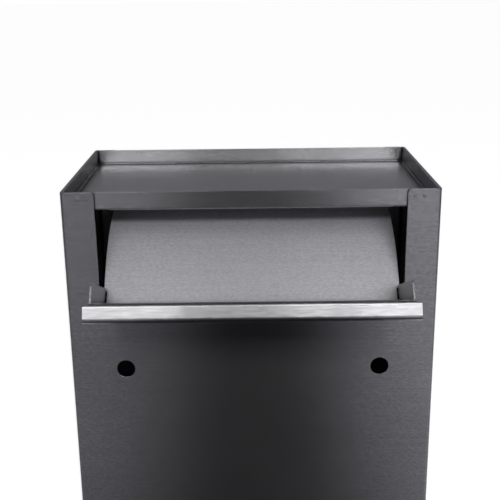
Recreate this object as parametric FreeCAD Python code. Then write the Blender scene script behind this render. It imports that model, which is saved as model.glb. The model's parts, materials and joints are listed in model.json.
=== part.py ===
import FreeCAD, Part
import math
import os

# Stainless wall drop box: folded cabinet, top tray, pull-down hopper and a lockable access door.
# Millimetres. X runs to the right, Y from the front to the back, Z up.
# The origin is the centre of the base's underside.
# The hopper is drawn open, the door closed and its lock unlocked.

V = FreeCAD.Vector

# Cabinet
width = 254.0
depth = 152.4
height = 457.2
sheet = 1.2  # cabinet, door and flap
thin_sheet = 1.0  # tray, baffle and hinge leaves
bend_radius = 1.0  # inside of a bend
post_width = 22.6  # front strip left beside the hopper opening
rear_flange = 16.0
base_flange = 16.0
tray_depth = 12.7

# Holes
front_hole_diameter = 12.7
front_hole_inset = 38.1  # from the cabinet's side
front_hole_drop = 127.0  # below the rim
wall_hole_diameter = 7.1
wall_hole_rise = 203.2  # lower pair to upper pair
opening_corner = 1.5
post_corner = 2.5  # top inner corner of a post

# Clearances
running_clearance = 0.3  # between pieces that move past each other
fit_clearance = 0.2  # between pieces that slide together once
pin_clearance = 0.05
rivet_clearance = 0.05

# Continuous hinges
pin_radius = 1.3
knuckle_wall = 1.05
knuckle_gap = 0.4
hopper_knuckles = 17
door_knuckles = 15
hopper_leaf_width = 19.0
door_leaf_width = 18.0

# Hopper
hinge_drop = 79.4  # hinge axis below the rim
open_angle = 67.5  # from the closed, upright flap
hopper_side_gap = 2.4  # flap to post
heel_rise = 2.0  # flap's lower edge above the hinge axis
lip_gap = 1.2  # closed lip to the tray's front wall
lip_lap = 1.1  # lip past the edge of the opening, on each post
lip_reach = 12.7
lip_bend = 1.8  # inside of the lip's bends
lip_return = 8.0
ear_height = 12.7
ear_relief = 1.0
ear_rake = 3.8
ear_corner = 2.5
ear_baffle_gap = 1.0
notch_gap = 0.8  # ear to the side of the baffle's notch
notch_end = 2.0  # baffle's notch, below the ear's free edge
baffle_pitch = 17.5  # fall of the baffle's flat behind a closed flap, in degrees
baffle_flange = 11.0
baffle_flat = 16.0
baffle_radius = 108.0
baffle_sweep = 40.0
baffle_edge_flat = 3.0
baffle_edge_lip = 6.0

# Access door
door_side_margin = 25.4  # cabinet's side to the door's opening
door_opening_height = 177.8
door_sill = 25.4
door_corner = 2.0
door_gap = 1.5
door_flange = 13.0
door_hinge_margin = 6.0
keeper_cover = 5.0  # keeper behind the door's flange
keeper_foot = 14.0
keeper_gap = 2.5  # door's edge to the keeper's web

# Rivets of the door's hinge
rivet_count = 5
rivet_setback = 11.0
rivet_end_margin = 14.0
rivet_shank_radius = 1.6
rivet_head_radius = 3.2
rivet_head_height = 1.1
rivet_tail_radius = 2.5
rivet_tail_height = 1.6

# Cam lock
lock_setback = 22.0  # from the door's free edge
lock_head_radius = 11.5
lock_head_height = 2.8
lock_head_bevel = 0.8
lock_barrel_radius = 9.5
lock_barrel_flats = 16.0
lock_hole_clearance = 0.15
plug_radius = 5.95
plug_proud = 0.4
plug_tail = 7.0
plug_shoulder = 0.3
key_slot_width = 1.8
key_slot_height = 8.5
key_slot_depth = 7.0
washer_radius = 12.5
washer_thickness = 0.8
nut_across_flats = 24.0
nut_thickness = 4.0
cam_thickness = 2.0
cam_width = 14.0
cam_length = 24.0
cam_end_radius = 3.0
cam_clearance = 0.5  # cam to keeper
screw_radius = 2.0
screw_length = 8.0
screw_head_radius = 4.5
screw_head_height = 2.4
screw_slot_width = 1.2
screw_slot_depth = 1.2

# Places worked out from the sizes above
half_width = width / 2
front_y = -depth / 2
back_y = depth / 2
inner_half = half_width - sheet
bend_zone = bend_radius + sheet
past = 5.0  # how far a cutting solid runs past what it cuts
touch = 0.01  # closer than this is the same place

knuckle_radius = pin_radius + pin_clearance + knuckle_wall
barrel_room = knuckle_radius + running_clearance

hole_x = half_width - front_hole_inset
opening_half = half_width - post_width
hinge_y = front_y + sheet + knuckle_radius
hinge_z = height - hinge_drop
flap_inner = -knuckle_radius
flap_outer = flap_inner - sheet
flap_top = hinge_drop - tray_depth - lip_gap
ear_free = flap_inner + ear_height
hopper_half = opening_half - hopper_side_gap
flat_half = hopper_half - bend_zone
lip_half = opening_half + lip_lap
open_turn = math.radians(open_angle)
heel_low = flap_outer * math.sin(open_turn) + heel_rise * math.cos(open_turn)
opening_sill = hinge_z + heel_low - running_clearance
hopper_hinge_length = 2 * (flat_half - running_clearance)

door_half = half_width - door_side_margin
door_top = door_sill + door_opening_height
door_middle = door_sill + door_opening_height / 2
door_hinge_x = -door_half + barrel_room
door_hinge_y = front_y + sheet + thin_sheet - knuckle_radius
door_left = door_hinge_x + barrel_room
door_right = door_half - door_gap
door_hinge_length = door_opening_height - 2 * door_hinge_margin
keeper_front = front_y + door_flange + running_clearance
cam_front = keeper_front + sheet + cam_clearance
lock_x = door_right - lock_setback
lock_front = front_y - lock_head_height
lock_end = cam_front - plug_shoulder

# Sections drawn in one plane and pulled along the third axis
SIDE_VIEW = FreeCAD.Rotation(V(0, 1, 0), V(0, 0, 1), V(1, 0, 0))  # drawn in Y and Z, pulled along X
DOOR_VIEW = FreeCAD.Rotation(V(1, 0, 0), V(0, 0, -1), V(0, 1, 0))  # drawn in X and -Z, pulled along Y
UPRIGHT_HINGE = FreeCAD.Rotation(V(0, 0, 1), V(0, -1, 0), V(1, 0, 0))  # axis to Z, leaves to -X and +X


def block(x_range, y_range, z_range):
    """Box between two values on each axis."""
    x0, x1 = sorted(x_range)
    y0, y1 = sorted(y_range)
    z0, z1 = sorted(z_range)
    return Part.makeBox(x1 - x0, y1 - y0, z1 - z0, V(x0, y0, z0))


def rod(radius, x, z, y_range):
    """Cylinder along Y."""
    y0, y1 = y_range
    return Part.makeCylinder(radius, y1 - y0, V(x, y0, z), V(0, 1, 0))


def edges_along(shape, axis):
    """Straight edges of a shape that run along an axis."""
    straight = [edge for edge in shape.Edges if isinstance(edge.Curve, Part.Line)]
    return [edge for edge in straight if abs(edge.tangentAt(edge.FirstParameter).dot(axis)) > 0.99]


def corner_at(shape, axis, place):
    """Straight edges along an axis that run through a place."""
    mark = Part.Vertex(place)
    return [edge for edge in edges_along(shape, axis) if edge.distToShape(mark)[0] < touch]


def rims_at(shape, y):
    """Round edges of a shape in the plane at y."""
    return [edge for edge in shape.Edges if edge.Closed and abs(edge.CenterOfMass.y - y) < touch]


def joined(shapes):
    """One solid from touching shapes, with the seams between flush faces taken out."""
    return shapes[0].multiFuse(shapes[1:]).removeSplitter()


def turned(shape, rotation, place=V(0, 0, 0)):
    """Shape drawn in the XY plane, turned into another view and moved."""
    copy = shape.copy()
    copy.Placement = FreeCAD.Placement(place, rotation).multiply(copy.Placement)
    return copy


def left_of(direction):
    return V(-direction.y, direction.x, 0)


def rounded_run(line, radii):
    """Edges along a line of points, with an arc of the given radius at each inner point."""
    edges = []
    start = line[0]
    for before, corner, after, radius in zip(line, line[1:], line[2:], radii):
        incoming = (corner - before).normalize()
        outgoing = (after - corner).normalize()
        half_turn = incoming.getAngle(outgoing) / 2
        reach = radius * math.tan(half_turn)
        arc_start = corner - incoming * reach
        arc_end = corner + outgoing * reach
        inward = (outgoing - incoming).normalize()
        arc_middle = corner + inward * (radius / math.cos(half_turn) - radius)
        edges.append(Part.makeLine(start, arc_start))
        edges.append(Part.Arc(arc_start, arc_middle, arc_end).toShape())
        start = arc_end
    edges.append(Part.makeLine(start, line[-1]))
    return edges


def bent_section(points, thickness, radii):
    """Section of a bent sheet in the XY plane. The points trace one face and the sheet lies to their left.

    Each inner point has the radius of the inside of its bend.
    """
    near = [V(x, y, 0) for x, y in points]
    ways = [(b - a).normalize() for a, b in zip(near, near[1:])]
    far = [near[0] + left_of(ways[0]) * thickness]
    near_radii = []
    far_radii = []
    for corner, way_in, way_out, radius in zip(near[1:], ways, ways[1:], radii):
        mitre = left_of(way_in) + left_of(way_out)
        far.append(corner + mitre * (thickness / (1 + way_in.dot(way_out))))
        turns_left = way_in.cross(way_out).z > 0
        near_radii.append(radius + thickness if turns_left else radius)
        far_radii.append(radius if turns_left else radius + thickness)
    far.append(near[-1] + left_of(ways[-1]) * thickness)
    edges = rounded_run(near, near_radii)
    edges.append(Part.makeLine(near[-1], far[-1]))
    edges.extend(rounded_run(far[::-1], far_radii[::-1]))
    edges.append(Part.makeLine(far[0], near[0]))
    return Part.Face(Part.Wire(edges))


def bent_sheet(points, thickness, radii, length):
    """Bent sheet drawn in the XY plane and pulled up along Z."""
    return bent_section(points, thickness, radii).extrude(V(0, 0, length))


def folded_pan(x_range, y_range, wall, thickness, sides):
    """Pan with its underside at z = 0 and a wall bent up on each named side, relieved at the corners."""
    x0, x1 = x_range
    y0, y1 = y_range
    x_middle = (x0 + x1) / 2
    y_middle = (y0 + y1) / 2
    zone = bend_radius + thickness
    ends = {
        "left": block((x0 - past, x0 + zone), (y0 - past, y1 + past), (-past, zone)),
        "right": block((x1 - zone, x1 + past), (y0 - past, y1 + past), (-past, zone)),
        "front": block((x0 - past, x1 + past), (y0 - past, y0 + zone), (-past, zone)),
        "back": block((x0 - past, x1 + past), (y1 - zone, y1 + past), (-past, zone)),
    }
    inset = thickness + fit_clearance
    wall_x0 = x0 + inset if "left" in sides else x0
    wall_x1 = x1 - inset if "right" in sides else x1
    along_y = FreeCAD.Rotation(V(1, 0, 0), V(0, 0, 1), V(0, -1, 0))
    sections = {
        "left": [(x0, wall), (x0, 0), (x_middle, 0)],
        "right": [(x_middle, 0), (x1, 0), (x1, wall)],
        "front": [(y0, wall), (y0, 0), (y_middle, 0)],
        "back": [(y_middle, 0), (y1, 0), (y1, wall)],
    }
    pieces = [block((x0, x1), (y0, y1), (0, thickness)).cut(Part.makeCompound([ends[s] for s in sides]))]
    for side in sides:
        if side in ("left", "right"):
            strip = bent_sheet(sections[side], thickness, [bend_radius], y1 - y0)
            strip = turned(strip, along_y, V(0, y1, 0))
            crossing = [ends[s] for s in sides if s in ("front", "back")]
        else:
            strip = bent_sheet(sections[side], thickness, [bend_radius], wall_x1 - wall_x0)
            strip = turned(strip, SIDE_VIEW, V(wall_x0, 0, 0))
            crossing = [ends[s] for s in sides if s in ("left", "right")]
        for end in crossing:
            strip = strip.cut(end)
        pieces.append(strip)
    return joined(pieces)


def knuckle_section(side):
    """One rolled knuckle about the origin, with its tab tangent to the -Y side and running up or down."""
    bore = pin_radius + pin_clearance
    tab_inner = thin_sheet - knuckle_radius
    tab_end = side * barrel_room
    meet = V(tab_inner, side * math.sqrt(knuckle_radius**2 - tab_inner**2), 0)
    tangent = V(-knuckle_radius, 0, 0)
    edges = [
        Part.makeLine(tangent, V(-knuckle_radius, tab_end, 0)),
        Part.makeLine(V(-knuckle_radius, tab_end, 0), V(tab_inner, tab_end, 0)),
        Part.makeLine(V(tab_inner, tab_end, 0), meet),
        Part.Arc(meet, V(knuckle_radius, 0, 0), tangent).toShape(),
    ]
    hole = Part.Face(Part.Wire(Part.makeCircle(bore)))
    return Part.Face(Part.Wire(edges)).cut(hole).Faces[0]


def hinge_leaf(length, knuckles, leaf_width, side, first):
    """Leaf of a continuous hinge about the X axis, on the -Y side, running up (side 1) or down (-1)."""
    pitch = length / knuckles
    sheet_y = (-knuckle_radius, thin_sheet - knuckle_radius)
    pieces = [block((-length / 2, length / 2), sheet_y, (side * barrel_room, side * leaf_width))]
    section = knuckle_section(side)
    for index in range(first, knuckles, 2):
        roll = section.extrude(V(0, 0, pitch - knuckle_gap))
        pieces.append(turned(roll, SIDE_VIEW, V(-length / 2 + index * pitch + knuckle_gap / 2, 0, 0)))
    return joined(pieces)


def hinge_pin(length):
    """Pin of a continuous hinge along the X axis, with its ends eased."""
    pin = Part.makeCylinder(pin_radius, length, V(-length / 2, 0, 0), V(1, 0, 0))
    rims = [e for e in pin.Edges if e.Closed]
    return pin.makeChamfer(pin_radius / 4, rims)


def on_hopper(shape):
    """Piece of the hopper, drawn about the hinge axis with the flap closed, swung open into place."""
    swing = FreeCAD.Rotation(V(1, 0, 0), open_angle)
    return turned(shape, swing, V(0, hinge_y, hinge_z))


def make_body_shell():
    outline = [
        (rear_flange - half_width, back_y),
        (-half_width, back_y),
        (-half_width, front_y),
        (half_width, front_y),
        (half_width, back_y),
        (half_width - rear_flange, back_y),
    ]
    shell = bent_sheet(outline, sheet, [bend_radius] * 4, height)
    through = (front_y - past, front_y + past)
    hopper_window = block((-opening_half, opening_half), through, (opening_sill, height + past))
    door_window = block((-door_half, door_half), through, (door_sill, door_top))
    shell = shell.cut(hopper_window.makeFillet(opening_corner, edges_along(hopper_window, V(0, 1, 0))))
    shell = shell.cut(door_window.makeFillet(door_corner, edges_along(door_window, V(0, 1, 0))))
    for side in (-1, 1):
        x = side * hole_x
        shell = shell.cut(rod(front_hole_diameter / 2, x, height - front_hole_drop, through))
        post_top = V(side * opening_half, front_y, height)
        shell = shell.makeFillet(post_corner, corner_at(shell, V(0, 1, 0), post_top))
    return shell.cut(rivet_holes(door_hinge_x - rivet_setback))


def inner_column(z_range):
    """Space inside the folded cabinet, with corners that clear the insides of its bends."""
    column = block((-inner_half, inner_half), (front_y + sheet, back_y - sheet), z_range)
    return column.makeFillet(bend_radius + fit_clearance, edges_along(column, V(0, 0, 1)))


def make_top_tray():
    pan = folded_pan(
        (-inner_half, inner_half),
        (front_y + sheet, back_y - sheet),
        tray_depth,
        thin_sheet,
        ("left", "right", "front", "back"),
    )
    pan.translate(V(0, 0, height - tray_depth))
    return pan.common(inner_column((height - tray_depth - past, height + past)))


def make_base_pan():
    pan = folded_pan(
        (-inner_half, inner_half),
        (front_y + sheet, back_y - 2 * sheet),
        base_flange,
        sheet,
        ("left", "right", "front", "back"),
    )
    return pan.common(inner_column((-past, base_flange + past)))


def make_back_panel():
    half = inner_half - bend_radius - fit_clearance
    inside = (back_y - 2 * sheet, back_y - sheet)
    panel = block((-half, half), inside, (0, height - tray_depth))
    upper = height - front_hole_drop
    for z in (upper - wall_hole_rise, upper):
        for side in (-1, 1):
            x = side * hole_x
            panel = panel.cut(rod(wall_hole_diameter / 2, x, z, (back_y - past, back_y + past)))
    return panel


def baffle_line(y):
    """Height of the baffle's upper face at a place y behind the closed flap, on its flat part."""
    fall = math.radians(baffle_pitch)
    rise = knuckle_radius + running_clearance + thin_sheet
    return (rise - y * math.sin(fall)) / math.cos(fall)


def make_hopper_flap():
    lip_front = flap_inner - lip_reach
    profile = [
        (flap_inner, heel_rise),
        (flap_inner, flap_top),
        (lip_front, flap_top),
        (lip_front, flap_top - lip_return),
    ]
    sheet_part = bent_sheet(profile, sheet, [lip_bend] * 2, 2 * lip_half)
    sheet_part = turned(sheet_part, SIDE_VIEW, V(-lip_half, 0, 0))
    below_lip = flap_top - lip_bend - sheet
    lap_face = flap_outer - running_clearance
    ear_root_top = below_lip - ear_relief
    low_gap = ear_baffle_gap / math.cos(math.radians(baffle_pitch))
    ear_tip = ear_root_top - ear_rake
    ear_shape = Part.makePolygon([
        V(0, flap_outer, baffle_line(flap_outer) + low_gap),
        V(0, ear_free, baffle_line(ear_free) + low_gap),
        V(0, ear_free, ear_tip),
        V(0, flap_inner, ear_root_top),
        V(0, flap_outer, ear_root_top),
        V(0, flap_outer, baffle_line(flap_outer) + low_gap),
    ])
    ear_column = Part.Face(ear_shape).extrude(V(lip_half, 0, 0))
    ear_profile = [(flat_half - bend_zone, flap_outer), (hopper_half, flap_outer), (hopper_half, ear_free)]
    right_ear = bent_sheet(ear_profile, sheet, [bend_radius], flap_top).common(ear_column)
    tip_edge = corner_at(right_ear, V(1, 0, 0), V(hopper_half, ear_free, ear_tip))
    right_ear = right_ear.makeFillet(ear_corner, tip_edge)
    left_ear = right_ear.mirror(V(0, 0, 0), V(1, 0, 0))
    for side in (-1, 1):
        beside_flat = (side * flat_half, side * (lip_half + past))
        beside_hopper = (side * hopper_half, side * (lip_half + past))
        behind_lip = (lap_face, past)
        sheet_part = sheet_part.cut(block(beside_flat, behind_lip, (0, below_lip)))
        sheet_part = sheet_part.cut(block(beside_hopper, behind_lip, (0, flap_top + past)))
    return on_hopper(joined([sheet_part, right_ear, left_ear]))


def make_hopper_baffle():
    fall = math.radians(baffle_pitch)
    end_fall = math.radians(baffle_pitch + baffle_sweep)
    root_y = flap_inner + 2 * thin_sheet
    root_turn = math.pi / 2 - fall
    flat_reach = bend_radius * math.tan(root_turn / 2) + baffle_flat
    curve_reach = baffle_radius * math.tan(math.radians(baffle_sweep) / 2)
    edge_reach = baffle_edge_flat + bend_radius + thin_sheet
    flat_way = V(math.cos(fall), -math.sin(fall), 0)
    end_way = V(math.cos(end_fall), -math.sin(end_fall), 0)
    root = V(root_y, baffle_line(root_y), 0)
    curve = root + flat_way * (flat_reach + curve_reach)
    edge = curve + end_way * (curve_reach + edge_reach)
    edge_lip = edge - left_of(end_way) * baffle_edge_lip
    flange_top = root + V(0, baffle_flange, 0)
    profile = [(p.x, p.y) for p in (edge_lip, edge, curve, root, flange_top)]
    radii = [bend_radius, baffle_radius - thin_sheet, bend_radius]
    baffle = bent_sheet(profile, thin_sheet, radii, 2 * hopper_half)
    baffle = turned(baffle, SIDE_VIEW, V(-hopper_half, 0, 0))
    notch_half = hopper_half - sheet - notch_gap
    beside_ear = (flap_inner - past, ear_free - notch_end)
    for side in (-1, 1):
        beside_notch = (side * notch_half, side * (hopper_half + past))
        baffle = baffle.cut(block(beside_notch, beside_ear, (-past, flange_top.y + past)))
    return on_hopper(baffle)


def make_hopper_hinge():
    place = V(0, hinge_y, hinge_z)
    level = FreeCAD.Rotation()
    fixed = hinge_leaf(hopper_hinge_length, hopper_knuckles, hopper_leaf_width, -1, 0)
    moving = hinge_leaf(hopper_hinge_length, hopper_knuckles, hopper_leaf_width, 1, 1)
    pin = hinge_pin(hopper_hinge_length)
    return turned(fixed, level, place), on_hopper(moving), turned(pin, level, place)


def make_door_hinge():
    place = V(door_hinge_x, door_hinge_y, door_middle)
    frame = hinge_leaf(door_hinge_length, door_knuckles, door_leaf_width, -1, 0)
    door = hinge_leaf(door_hinge_length, door_knuckles, door_leaf_width, 1, 1)
    frame = turned(frame, UPRIGHT_HINGE, place).cut(rivet_holes(door_hinge_x - rivet_setback))
    door = turned(door, UPRIGHT_HINGE, place).cut(rivet_holes(door_hinge_x + rivet_setback))
    return frame, door, turned(hinge_pin(door_hinge_length), UPRIGHT_HINGE, place)


def rivet_heights():
    lowest = door_middle - door_hinge_length / 2 + rivet_end_margin
    step = (door_hinge_length - 2 * rivet_end_margin) / (rivet_count - 1)
    return [lowest + index * step for index in range(rivet_count)]


def rivet_holes(x):
    radius = rivet_shank_radius + rivet_clearance
    through = (front_y - past, front_y + past)
    return Part.makeCompound([rod(radius, x, z, through) for z in rivet_heights()])


def make_rivets(x):
    """Column of blind rivets through the front sheet and a hinge leaf: domed head, shank and set tail."""
    inner = front_y + sheet + thin_sheet
    rise = rivet_head_height
    dome_radius = (rivet_head_radius**2 + rise**2) / (2 * rise)
    rivets = []
    for z in rivet_heights():
        ball = Part.makeSphere(dome_radius, V(x, front_y - rise + dome_radius, z))
        head = ball.common(rod(rivet_head_radius, x, z, (front_y - rise - past, front_y)))
        shank = rod(rivet_shank_radius, x, z, (front_y, inner))
        tail = rod(rivet_tail_radius, x, z, (inner, inner + rivet_tail_height))
        tail = tail.makeFillet(rivet_tail_height / 3, rims_at(tail, inner + rivet_tail_height))
        rivets.append(joined([head, shank, tail]))
    return Part.makeCompound(rivets)


def lock_rod(radius, y_range):
    """Cylinder on the lock's axis."""
    return rod(radius, lock_x, door_middle, y_range)


def lock_block(across, y_range, upright):
    """Box centred on the lock's axis."""
    x_range = (lock_x - across / 2, lock_x + across / 2)
    z_range = (door_middle - upright / 2, door_middle + upright / 2)
    return block(x_range, y_range, z_range)


def lock_barrel(extra, y_range):
    """Round barrel with two flats, along the lock's axis."""
    reach = lock_barrel_radius + extra
    flats = lock_block(lock_barrel_flats + 2 * extra, y_range, 2 * reach)
    return lock_rod(reach, y_range).common(flats)


def make_access_door():
    pan = folded_pan(
        (door_left, door_right),
        (door_gap - door_top, -door_sill - door_gap),
        door_flange,
        sheet,
        ("right", "front", "back"),
    )
    door = turned(pan, DOOR_VIEW, V(0, front_y, 0))
    door = door.cut(lock_barrel(lock_hole_clearance, (front_y - past, front_y + past)))
    return door.cut(rivet_holes(door_hinge_x + rivet_setback))


def make_door_keeper():
    web_x = door_right + keeper_gap
    foot_y = front_y + sheet
    profile = [
        (door_right - keeper_cover, keeper_front),
        (web_x, keeper_front),
        (web_x, foot_y),
        (web_x + keeper_foot, foot_y),
    ]
    keeper = bent_sheet(profile, sheet, [bend_radius] * 2, door_opening_height)
    keeper.translate(V(0, 0, door_sill))
    return keeper


def make_lock_body():
    head = lock_rod(lock_head_radius, (lock_front, front_y))
    head = head.makeChamfer(lock_head_bevel, rims_at(head, lock_front))
    body = joined([head, lock_barrel(0, (front_y, lock_end))])
    return body.cut(lock_rod(plug_radius + pin_clearance, (lock_front - past, lock_end + past)))


def make_lock_washer():
    span = (front_y + sheet, front_y + sheet + washer_thickness)
    return lock_rod(washer_radius, span).cut(lock_barrel(lock_hole_clearance, span))


def make_lock_nut():
    start = front_y + sheet + washer_thickness
    end = start + nut_thickness
    corner = nut_across_flats / 2 / math.cos(math.pi / 6)
    angles = [index * math.pi / 3 for index in range(7)]
    outline = [V(lock_x + corner * math.cos(a), start, door_middle + corner * math.sin(a)) for a in angles]
    nut = Part.Face(Part.makePolygon(outline)).extrude(V(0, nut_thickness, 0))
    return nut.cut(lock_rod(lock_barrel_radius + pin_clearance, (start - past, end + past)))


def make_lock_plug():
    face = lock_front - plug_proud
    tail_end = cam_front + cam_thickness - fit_clearance
    screw_end = cam_front + cam_thickness - screw_length - fit_clearance
    plug = lock_rod(plug_radius, (face, cam_front))
    tail = lock_block(plug_tail, (cam_front, tail_end), plug_tail)
    key_slot = lock_block(key_slot_width, (face - past, face + key_slot_depth), key_slot_height)
    screw_hole = lock_rod(screw_radius + pin_clearance, (screw_end, tail_end + past))
    return joined([plug, tail]).cut(key_slot).cut(screw_hole)


def make_lock_cam():
    """Flat cam with one round end about the plug and one long end, upright when unlocked."""
    left = lock_x - cam_width / 2
    right = lock_x + cam_width / 2
    outline = [
        V(left, cam_front, door_middle),
        V(left, cam_front, door_middle + cam_length),
        V(right, cam_front, door_middle + cam_length),
        V(right, cam_front, door_middle),
    ]
    edges = rounded_run(outline, [cam_end_radius] * 2)
    lowest = V(lock_x, cam_front, door_middle - cam_width / 2)
    edges.append(Part.Arc(outline[-1], lowest, outline[0]).toShape())
    cam = Part.Face(Part.Wire(edges)).extrude(V(0, cam_thickness, 0))
    hole = plug_tail + 2 * pin_clearance
    return cam.cut(lock_block(hole, (cam_front - past, cam_front + cam_thickness + past), hole))


def make_cam_screw():
    seat = cam_front + cam_thickness
    top = seat + screw_head_height
    head = lock_rod(screw_head_radius, (seat, top))
    head = head.makeFillet(screw_head_height / 3, rims_at(head, top))
    shank = lock_rod(screw_radius, (seat - screw_length, seat))
    slot = lock_block(2 * screw_head_radius + past, (top - screw_slot_depth, top + past), screw_slot_width)
    return joined([head, shank]).cut(slot)


hopper_fixed_leaf, hopper_moving_leaf, hopper_pin = make_hopper_hinge()
door_frame_leaf, door_leaf, door_pin = make_door_hinge()
nodes = {
    "body_shell": make_body_shell(),
    "back_panel": make_back_panel(),
    "base_pan": make_base_pan(),
    "top_tray": make_top_tray(),
    "hopper_flap": make_hopper_flap(),
    "hopper_baffle": make_hopper_baffle(),
    "hopper_hinge_fixed_leaf": hopper_fixed_leaf,
    "hopper_hinge_moving_leaf": hopper_moving_leaf,
    "hopper_hinge_pin": hopper_pin,
    "access_door": make_access_door(),
    "door_keeper": make_door_keeper(),
    "door_hinge_frame_leaf": door_frame_leaf,
    "door_hinge_door_leaf": door_leaf,
    "door_hinge_pin": door_pin,
    "door_hinge_frame_rivets": make_rivets(door_hinge_x - rivet_setback),
    "door_hinge_door_rivets": make_rivets(door_hinge_x + rivet_setback),
    "lock_body": make_lock_body(),
    "lock_washer": make_lock_washer(),
    "lock_nut": make_lock_nut(),
    "lock_plug": make_lock_plug(),
    "lock_cam": make_lock_cam(),
    "cam_screw": make_cam_screw(),
}
os.makedirs("parts", exist_ok=True)
for name, shape in nodes.items():
    shape.exportStep(f"parts/{name}.step")
    state = "valid" if shape.isValid() else "NOT VALID"
    print(name, state, len(shape.Solids), "solids", round(shape.Volume, 1))
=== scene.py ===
import json
import math

import bpy
from mathutils import Euler, Matrix, Vector


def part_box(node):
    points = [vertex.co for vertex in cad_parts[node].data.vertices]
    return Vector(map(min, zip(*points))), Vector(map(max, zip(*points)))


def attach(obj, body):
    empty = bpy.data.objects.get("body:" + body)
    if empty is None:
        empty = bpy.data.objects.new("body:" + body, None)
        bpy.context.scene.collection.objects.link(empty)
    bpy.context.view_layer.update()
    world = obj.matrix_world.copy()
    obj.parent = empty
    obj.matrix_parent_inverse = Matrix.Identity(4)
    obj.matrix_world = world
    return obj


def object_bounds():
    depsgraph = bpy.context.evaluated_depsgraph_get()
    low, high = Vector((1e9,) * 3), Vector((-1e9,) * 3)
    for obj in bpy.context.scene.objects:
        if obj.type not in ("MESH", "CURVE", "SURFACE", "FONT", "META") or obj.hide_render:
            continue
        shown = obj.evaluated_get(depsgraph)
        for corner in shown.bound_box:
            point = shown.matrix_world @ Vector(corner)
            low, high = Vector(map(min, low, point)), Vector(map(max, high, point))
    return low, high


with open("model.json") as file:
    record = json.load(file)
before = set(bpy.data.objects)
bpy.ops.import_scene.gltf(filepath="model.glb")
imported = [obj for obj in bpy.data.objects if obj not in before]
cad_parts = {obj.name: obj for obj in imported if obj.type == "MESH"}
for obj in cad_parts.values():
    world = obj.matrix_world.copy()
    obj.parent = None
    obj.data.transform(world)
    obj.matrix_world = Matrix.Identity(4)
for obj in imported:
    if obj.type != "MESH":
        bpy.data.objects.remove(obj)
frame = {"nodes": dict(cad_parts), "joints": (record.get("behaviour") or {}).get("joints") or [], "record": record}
cad_low, cad_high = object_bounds()

# Metres, in the CAD frame: X to the right, Y from the front to the back, Z up.
UPRIGHT = (0.0, 0.0, 1.0)
SIDEWAYS = (1.0, 0.0, 0.0)
TO_FRONT = (0.0, -1.0, 0.0)
WHITE = (1.0, 1.0, 1.0)

# Camera, found from the box's corners in the photograph
camera_place = Vector((-0.0010, -0.6630, 0.5951))
camera_tilt = math.radians(73.055)
camera_roll = math.radians(-0.669)
focal_length = 65.43  # millimetres, as the sensor's width is
sensor_width = 36.0

# Floor and sky, with levels of brightness where 1 is white
floor_size = 40.0
floor_colour = 0.85
floor_glow = 0.765
ambient = 0.25

# Tent of cards round the box, which only its reflections see
tent_front = -1.25
tent_back = 1.20
tent_half = 1.60
tent_top = 1.90
mat_lift = 0.002  # of the mat above the floor
card_core_level = 0.014
card_left_level = 0.16
card_right_level = 0.30
card_core_left = -0.03
card_core_right = 0.06
card_fade = 0.28
card_tint = (1.0, 0.975, 1.08)
back_card_level = 0.15
side_card_level = 0.03
ceiling_front_level = 0.03
ceiling_back_level = 0.45

# Lamps
lamp_power = 4.0  # watts to the square metre that show as a level of 1
softbox_y = -1.03
softbox_low = 0.92
softbox_high = 1.24
softbox_spans = (  # name, left end, right end and level
    ("left_softbox", -0.63, -0.098, 2.80),
    ("middle_softbox", -0.098, 0.066, 1.65),
    ("near_right_softbox", 0.066, 0.155, 2.95),
    ("right_softbox", 0.155, 0.63, 3.05),
)
key_place = (0.25, -1.6, 1.09)
key_width = 1.0
key_height = 0.1
key_level = 36.5
key_tint = (1.0, 0.985, 1.06)

# Range that most of a noise lies in, and the narrower one in which smudges change the gloss
noise_low = 0.3
noise_high = 0.7
gloss_noise_low = 0.35
gloss_noise_high = 0.65

# Brushed finish: features to the metre along and across the grain, and how far they sway shade and gloss
scratch_along = 430.0
scratch_across = 1100.0
scratch_detail = 2.0
scratch_shade = 0.10
scratch_gloss = 0.004
streak_along = 12.0
streak_across = 700.0
streak_detail = 3.0
streak_shade = 0.03
ridge_strength = 0.006
ridge_depth = 0.0002
smudge_scale = 14.0
smudge_detail = 3.0
smudge_shade = 0.03
smudge_gloss = 0.003
sheet_roughness = 0.222
baffle_roughness = 0.40

# Eased edges, and painted shade in corners and seams, which is full where only the closed share lies open
edge_radius = 0.0004
edge_samples = 4
painted_corner_reach = 0.012
painted_corner_closed = 0.3
painted_crease_reach = 0.004
painted_crease_closed = 0.6
open_share = 0.9
open_samples = 8

# Where the painted shades start and are full: squared cosines to X for the sides, cosines to a flat for the bends
side_start = 0.5
side_full = 0.9
bend_full = 0.80
bend_start = 0.98

# Plated finish of the pins, the rivets and the lock
pit_scale = 900.0
pit_detail = 2.0
pit_gloss = 0.04
pit_strength = 0.05
pit_depth = 0.0001

# Marks of the spot welds on the posts
weld_radius = 0.0017
weld_rise = 0.00007
weld_sink = 0.00003  # its rim below the sheet's face
weld_floor = 2 * weld_sink
weld_drop = 0.0047  # below the box's rim
weld_reaches = (0.1095, 0.1155)  # to each side of the middle
weld_rings = 3
weld_corners = 24
weld_tone = 0.88

# Grain of a sheet: the axes that it follows, the tangent of its gloss and that tangent's part of a turn
QUARTER_TURN = 0.25
ROUND_GRAIN = ("XY", UPRIGHT, 0.0)  # level round the walls
WIDE_GRAIN = ("X", SIDEWAYS, QUARTER_TURN)  # from side to side

# Directions that the flat faces of a sheet are turned to; the hopper's sheet leans out at rest
hopper_hinge = next(joint for joint in frame["joints"] if joint["name"] == "hopper_hinge")
hopper_open = math.radians(hopper_hinge["range_deg"][1])
BOX_FLATS = (SIDEWAYS, TO_FRONT, UPRIGHT)
HOPPER_FLATS = (
    SIDEWAYS,
    (0.0, -math.sin(hopper_open), math.cos(hopper_open)),
    (0.0, math.cos(hopper_open), math.sin(hopper_open)),
)

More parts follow.
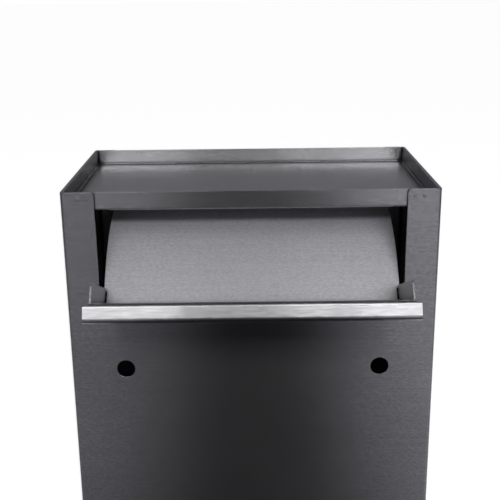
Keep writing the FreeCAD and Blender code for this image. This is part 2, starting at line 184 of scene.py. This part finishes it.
front_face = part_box("body_shell")[0].y
hinge_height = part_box("hopper_hinge_pin")[0].z
slot_colours = {finish["slot"]: finish["base_color"] for finish in frame["record"]["materials"]}


class Graph:
    """Short calls for building one node tree."""

    def __init__(self, tree):
        self.tree = tree
        tree.nodes.clear()

    def node(self, kind, inputs=None, **settings):
        """New node with its settings, and with values or links on its inputs."""
        made = self.tree.nodes.new(kind)
        for name, value in settings.items():
            setattr(made, name, value)
        for name, value in (inputs or {}).items():
            if isinstance(value, bpy.types.NodeSocket):
                self.tree.links.new(value, made.inputs[name])
            else:
                made.inputs[name].default_value = value
        return made

    def surface(self, shader):
        """Output of a material."""
        self.node("ShaderNodeOutputMaterial", {"Surface": shader.outputs[0]})

    def place(self):
        """Where a point lies in its own object."""
        return self.node("ShaderNodeTexCoord").outputs["Object"]

    def place_along(self, axis):
        """Where a point lies along one axis of its own object."""
        return self.node("ShaderNodeSeparateXYZ", {0: self.place()}).outputs[axis]

    def math(self, operation, first, second=0.0):
        """Result of one operation."""
        return self.node("ShaderNodeMath", {0: first, 1: second}, operation=operation).outputs[0]

    def product(self, values):
        """All values multiplied."""
        result = values[0]
        for value in values[1:]:
            result = self.math("MULTIPLY", result, value)
        return result

    def remap(self, value, from_low, from_high, to_low, to_high):
        """Smooth step from one range to another."""
        ends = {1: from_low, 2: from_high, 3: to_low, 4: to_high}
        return self.node("ShaderNodeMapRange", {0: value, **ends}, interpolation_type="SMOOTHSTEP").outputs[0]

    def noise(self, scale, detail):
        """Noise stretched by a scale for each axis."""
        spread = self.node("ShaderNodeMapping", {"Vector": self.place(), "Scale": scale})
        inputs = {"Vector": spread.outputs[0], "Scale": 1.0, "Detail": detail}
        return self.node("ShaderNodeTexNoise", inputs).outputs[0]

    def vary(self, noise, middle, swing):
        """Value that a noise swings to both sides of its middle."""
        return self.remap(noise, noise_low, noise_high, middle - swing, middle + swing)

    def seen_directly(self):
        """1 for camera, glossy and transmission rays, and 0 for the others."""
        path = self.node("ShaderNodeLightPath")
        seen = self.math("MAXIMUM", path.outputs["Is Camera Ray"], path.outputs["Is Glossy Ray"])
        return self.math("MAXIMUM", seen, path.outputs["Is Transmission Ray"])


def new_material(name):
    """Material with an empty node tree, and the graph to fill it."""
    material = bpy.data.materials.new(name)
    material.use_nodes = True
    return material, Graph(material.node_tree)


def stretched(along, lengthwise, crosswise):
    """Noise scale of each axis, coarse on the axes that the grain follows."""
    return tuple(lengthwise if axis in along else crosswise for axis in "XYZ")


def brushed_steel(name, slot, grain, roughness=sheet_roughness, metal=1.0, dash=scratch_along, tone=1.0,
                  painted_corner_depth=0.3, painted_crease_depth=0.3, painted_side_level=1.0, painted_bend_level=0.6, flats=BOX_FLATS, eased=True):
    """Stainless sheet with a fine straight grain, smudges, painted shade in its corners and, if asked, eased
    edges.

    The dash is the scratches' count along the grain. The corner depth is how much darker a corner is painted, and
    the crease depth how much darker a seam in it is painted. The side level is the painted shade of faces turned
    to X, and the bend level that of the bends between the flats.
    """
    along, tangent, turn = grain
    material, graph = new_material(name)
    scratch = graph.noise(stretched(along, dash, scratch_across), scratch_detail)
    streak = graph.noise(stretched(along, streak_along, streak_across), streak_detail)
    smudge = graph.noise((smudge_scale,) * 3, smudge_detail)
    grain_and_painted_shades = [
        graph.vary(scratch, tone, tone * scratch_shade),
        graph.vary(streak, 1.0, streak_shade),
        graph.vary(smudge, 1.0, smudge_shade),
        # Painted shade in corners
        painted_hollow_shade(graph, painted_corner_reach, painted_corner_closed, painted_corner_depth),
        # Painted shade in the seams of bends
        painted_hollow_shade(graph, painted_crease_reach, painted_crease_closed, painted_crease_depth),
    ]
    inputs = {"Metallic": metal, "Anisotropic": 1.0, "Anisotropic Rotation": turn}
    # Painted shade on faces turned to X, which also lowers their glancing reflection
    if painted_side_level < 1.0:
        inputs["Specular Tint"] = painted_side_shade(graph, painted_side_level)
        grain_and_painted_shades.append(inputs["Specular Tint"])
    # Painted shade on the bends between the flats
    if painted_bend_level < 1.0:
        grain_and_painted_shades.append(painted_bend_shade(graph, flats, painted_bend_level))
    tint = {0: slot_colours[slot], 3: graph.product(grain_and_painted_shades)}
    inputs["Base Color"] = graph.node("ShaderNodeVectorMath", tint, operation="SCALE").outputs[0]
    smudged = graph.remap(smudge, gloss_noise_low, gloss_noise_high, -smudge_gloss, smudge_gloss)
    inputs["Roughness"] = graph.math("ADD", graph.vary(scratch, roughness, scratch_gloss), smudged)
    inputs["Normal"] = ridges(graph, streak, eased)
    inputs["Tangent"] = graph.node("ShaderNodeCombineXYZ", dict(enumerate(tangent))).outputs[0]
    graph.surface(graph.node("ShaderNodeBsdfPrincipled", inputs))
    return material


def ridges(graph, streak, eased):
    """Normal of a brushed face, over edges that are eased if asked."""
    inputs = {"Height": streak, "Strength": ridge_strength, "Distance": ridge_depth}
    if eased:
        edges = graph.node("ShaderNodeBevel", {"Radius": edge_radius}, samples=edge_samples)
        inputs["Normal"] = edges.outputs[0]
    return graph.node("ShaderNodeBump", inputs).outputs[0]


def painted_hollow_shade(graph, reach, closed, depth):
    """Painted shade: 1 on open faces, and lower by a depth where only the closed share of what lies in reach is
    open.
    """
    occlusion = graph.node("ShaderNodeAmbientOcclusion", {"Distance": reach}, samples=open_samples)
    return graph.remap(occlusion.outputs["AO"], closed, open_share, 1.0 - depth, 1.0)


def painted_side_shade(graph, level):
    """Painted shade: 1 on most faces, and a lower level on those turned to X."""
    to_x = turned_to(graph, SIDEWAYS)
    return graph.remap(graph.math("MULTIPLY", to_x, to_x), side_start, side_full, 1.0, level)


def painted_bend_shade(graph, flats, level):
    """Painted shade: 1 on faces turned to or from one of the flats, and a lower level on the bends between them.
    """
    nearest = 0.0
    for direction in flats:
        nearest = graph.math("MAXIMUM", nearest, graph.math("ABSOLUTE", turned_to(graph, direction)))
    return graph.remap(nearest, bend_full, bend_start, level, 1.0)


def turned_to(graph, direction):
    """1 on faces turned to a direction of their node, 0 across it and -1 away from it."""
    normal = graph.node("ShaderNodeTexCoord").outputs["Normal"]
    dot = graph.node("ShaderNodeVectorMath", {0: normal, 1: direction}, operation="DOT_PRODUCT")
    return dot.outputs["Value"]


def plated(name, slot, roughness):
    """Plated metal with fine pitting."""
    material, graph = new_material(name)
    pits = graph.noise((pit_scale,) * 3, pit_detail)
    bump = graph.node("ShaderNodeBump", {"Height": pits, "Strength": pit_strength, "Distance": pit_depth})
    shader = graph.node("ShaderNodeBsdfPrincipled", {
        "Base Color": (*slot_colours[slot], 1.0),
        "Metallic": 1.0,
        "Roughness": graph.vary(pits, roughness, pit_gloss),
        "Normal": bump.outputs[0],
    })
    graph.surface(shader)
    return material


def dress(material, *nodes):
    """Give CAD nodes a material."""
    for name in nodes:
        for slot in frame["nodes"][name].material_slots:
            slot.material = material


def dress_cabinet():
    """Body, base and tray."""
    # The body and base take the default painted shade in corners, seams and bends
    dress(brushed_steel("cabinet_steel", "cabinet_steel", ROUND_GRAIN), "body_shell", "back_panel")
    dress(brushed_steel("base_steel", "cabinet_steel", WIDE_GRAIN), "base_pan")
    # Painted shade in the tray's seams, on its side walls and on its bends
    tray = brushed_steel("tray_steel", "tray_steel", WIDE_GRAIN, tone=1.1, painted_crease_depth=0.8, painted_side_level=0.6, painted_bend_level=0.9)
    dress(tray, "top_tray")


def dress_hopper():
    """Flap, baffle and the leaves of their hinge."""
    # Painted shade in the flap's corners and seams, on its ears and on its bends
    flap = brushed_steel("hopper_steel", "hopper_steel", WIDE_GRAIN, dash=160.0, painted_corner_depth=0.5, painted_crease_depth=0.7,
                         painted_side_level=0.68, painted_bend_level=0.4, flats=HOPPER_FLATS)
    dress(flap, "hopper_flap")
    baffle = brushed_steel("baffle_steel", "baffle_steel", WIDE_GRAIN, baffle_roughness, metal=0.4, painted_bend_level=1.0)
    dress(baffle, "hopper_baffle")
    hinge = brushed_steel("hinge_steel", "hinge_steel", WIDE_GRAIN, painted_bend_level=1.0)
    dress(hinge, "hopper_hinge_fixed_leaf", "hopper_hinge_moving_leaf")


def dress_door():
    """Door, keeper and the leaves of the door's hinge."""
    # The door and keeper take the default painted shade in corners, seams and bends
    dress(brushed_steel("door_steel", "door_steel", ROUND_GRAIN), "access_door", "door_keeper")
    hinge = brushed_steel("door_hinge_steel", "hinge_steel", ROUND_GRAIN, painted_bend_level=1.0)
    dress(hinge, "door_hinge_frame_leaf", "door_hinge_door_leaf")


def dress_hardware():
    """Pins, rivets and lock."""
    dress(plated("pin_steel", "pin_steel", roughness=0.25), "hopper_hinge_pin", "door_hinge_pin")
    rivets = plated("rivet_steel", "rivet_steel", roughness=0.30)
    dress(rivets, "door_hinge_frame_rivets", "door_hinge_door_rivets")
    dress(plated("lock_chrome", "lock_chrome", roughness=0.14), "lock_body")
    dress(plated("plug_chrome", "plug_chrome", roughness=0.22), "lock_plug")
    zinc = plated("lock_zinc", "lock_zinc", roughness=0.35)
    dress(zinc, "lock_washer", "lock_nut", "lock_cam", "cam_screw")


def link(name, data):
    """New object in the scene."""
    made = bpy.data.objects.new(name, data)
    bpy.context.scene.collection.objects.link(made)
    return made


def weld_dome(centre):
    """Points and faces of a low closed dome that faces the front, with its rim and floor in the sheet."""
    centre, outward, up = Vector(centre), Vector(TO_FRONT), Vector(UPRIGHT)
    side = up.cross(outward)
    points = [centre + weld_rise * outward, centre - weld_floor * outward]
    top, floor, first = 0, 1, len(points)
    for ring in range(1, weld_rings + 1):
        share = ring / weld_rings
        height = weld_rise - (weld_rise + weld_sink) * share ** 2
        for corner in range(weld_corners):
            angle = math.tau * corner / weld_corners
            reach = side * math.cos(angle) + up * math.sin(angle)
            points.append(centre + share * weld_radius * reach + height * outward)
    faces = []
    for corner in range(weld_corners):
        following = (corner + 1) % weld_corners
        here = [first + ring * weld_corners + corner for ring in range(weld_rings)]
        after = [first + ring * weld_corners + following for ring in range(weld_rings)]
        faces.append((top, here[0], after[0]))
        for ring in range(weld_rings - 1):
            faces.append((here[ring], here[ring + 1], after[ring + 1], after[ring]))
        faces.append((floor, after[-1], here[-1]))
    return points, faces


def make_weld_marks():
    """Two spot welds below the rim of each post, as one mesh of closed domes."""
    points, faces = [], []
    for x in weld_reaches:
        for side in (-1, 1):
            start = len(points)
            dome_points, dome_faces = weld_dome((side * x, front_face, cad_high.z - weld_drop))
            points += dome_points
            faces += [tuple(start + index for index in face) for face in dome_faces]
    mesh = bpy.data.meshes.new("weld_marks")
    mesh.from_pydata(points, [], faces)
    mesh.shade_smooth()
    # The edges aren't eased, because the two faces of a mark lie closer than the edge's radius.
    steel = brushed_steel("weld_steel", "cabinet_steel", ROUND_GRAIN, tone=weld_tone, painted_bend_level=1.0, eased=False)
    mesh.materials.append(steel)
    marks = link("weld_marks", mesh)
    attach(marks, "cabinet")


def plane(name, corner, side, rise, material):
    """Flat stage sheet spanned from a corner by two edges."""
    corner, side, rise = Vector(corner), Vector(side), Vector(rise)
    mesh = bpy.data.meshes.new(name)
    mesh.from_pydata([corner, corner + side, corner + side + rise, corner + rise], [], [(0, 1, 2, 3)])
    mesh.materials.append(material)
    made = link(name, mesh)
    return made


def make_world():
    """White where the camera or a reflection sees it, and softer as light."""
    world = bpy.data.worlds.new("studio")
    bpy.context.scene.world = world
    world.use_nodes = True
    graph = Graph(world.node_tree)
    strength = graph.remap(graph.seen_directly(), 0.0, 1.0, ambient, 1.0)
    sky = graph.node("ShaderNodeBackground", {"Color": (*WHITE, 1.0), "Strength": strength})
    graph.node("ShaderNodeOutputWorld", {"Surface": sky.outputs[0]})


def make_floor():
    """White floor that keeps the object's shadow."""
    material, graph = new_material("floor")
    shadowed = graph.node("ShaderNodeBsdfDiffuse", {"Color": (floor_colour, floor_colour, floor_colour, 1.0)})
    strength = graph.math("MULTIPLY", graph.seen_directly(), floor_glow)
    glow = graph.node("ShaderNodeEmission", {"Strength": strength})
    graph.surface(graph.node("ShaderNodeAddShader", {0: shadowed.outputs[0], 1: glow.outputs[0]}))
    half = floor_size / 2
    plane("floor", (-half, -half, cad_low.z), (floor_size, 0, 0), (0, floor_size, 0), material)


def card(name, corner, side, rise, level, tint=card_tint):
    """Studio card that only reflections see. Its level is a number, or a function of its graph."""
    material, graph = new_material(name)
    strength = level(graph) if callable(level) else level
    graph.surface(graph.node("ShaderNodeEmission", {"Color": (*tint, 1.0), "Strength": strength}))
    made = plane(name, corner, side, rise, material)
    made.visible_camera = False
    made.visible_diffuse = False
    made.visible_shadow = False


def front_level(graph):
    """Dark behind the camera, and paler to both sides."""
    x = graph.place_along(0)
    left_end = card_core_left - card_fade
    right_end = card_core_right + card_fade
    left = graph.remap(x, card_core_left, left_end, 0.0, card_left_level - card_core_level)
    right = graph.remap(x, card_core_right, right_end, 0.0, card_right_level - card_core_level)
    return graph.math("ADD", graph.math("ADD", left, right), card_core_level)


def ceiling_level(graph):
    """Dark to the front, and paler to the back."""
    return graph.remap(graph.place_along(1), 0.0, tent_back, ceiling_front_level, ceiling_back_level)


def hang_cards():
    """Cards on all sides of the box and above it, and a mat before it."""
    wide = (2 * tent_half, 0, 0)
    deep = (0, tent_back - tent_front, 0)
    tall = (0, 0, tent_top)
    mat_deep = (0, front_face - tent_front, 0)
    card("front_card", (-tent_half, tent_front, 0), wide, tall, front_level)
    card("front_mat", (-tent_half, tent_front, mat_lift), wide, mat_deep, front_level)
    card("back_card", (-tent_half, tent_back, 0), wide, tall, back_card_level)
    card("left_card", (-tent_half, tent_front, 0), deep, tall, side_card_level)
    card("right_card", (tent_half, tent_front, 0), deep, tall, side_card_level)
    card("ceiling", (-tent_half, tent_front, tent_top), wide, deep, ceiling_level, WHITE)


def softbox(name, centre, width, height, level, target):
    """Area lamp of a given brightness that faces a target."""
    lamp = bpy.data.lights.new(name, "AREA")
    lamp.shape = "RECTANGLE"
    lamp.size = width
    lamp.size_y = height
    lamp.energy = lamp_power * width * height * level
    made = link(name, lamp)
    made.location = centre
    made.rotation_euler = (Vector(target) - Vector(centre)).to_track_quat("-Z", "Y").to_euler()
    return made


def set_lamps():
    """Row of softboxes that the lip mirrors, and a key lamp that casts the shadows."""
    height = softbox_high - softbox_low
    middle = (softbox_low + softbox_high) / 2
    for name, left, right, level in softbox_spans:
        centre = ((left + right) / 2, softbox_y, middle)
        lamp = softbox(name, centre, right - left, height, level, (0, cad_low.y, hinge_height))
        lamp.visible_diffuse = False
    key = softbox("key", key_place, key_width, key_height, key_level, (0, 0, cad_high.z))
    key.data.color = key_tint
    key.visible_glossy = False


def make_camera():
    """Camera at the photograph's place, tilted down and rolled a little."""
    lens = bpy.data.cameras.new("camera")
    lens.lens = focal_length
    lens.sensor_width = sensor_width
    made = link("camera", lens)
    turn = Euler((camera_tilt, 0, 0)).to_matrix() @ Matrix.Rotation(camera_roll, 3, "Z")
    made.location = camera_place
    made.rotation_euler = turn.to_euler()
    bpy.context.scene.camera = made


dress_cabinet()
dress_hopper()
dress_door()
dress_hardware()
make_weld_marks()
make_world()
make_floor()
hang_cards()
set_lamps()
make_camera()
bpy.context.scene.view_settings.view_transform = "Standard"
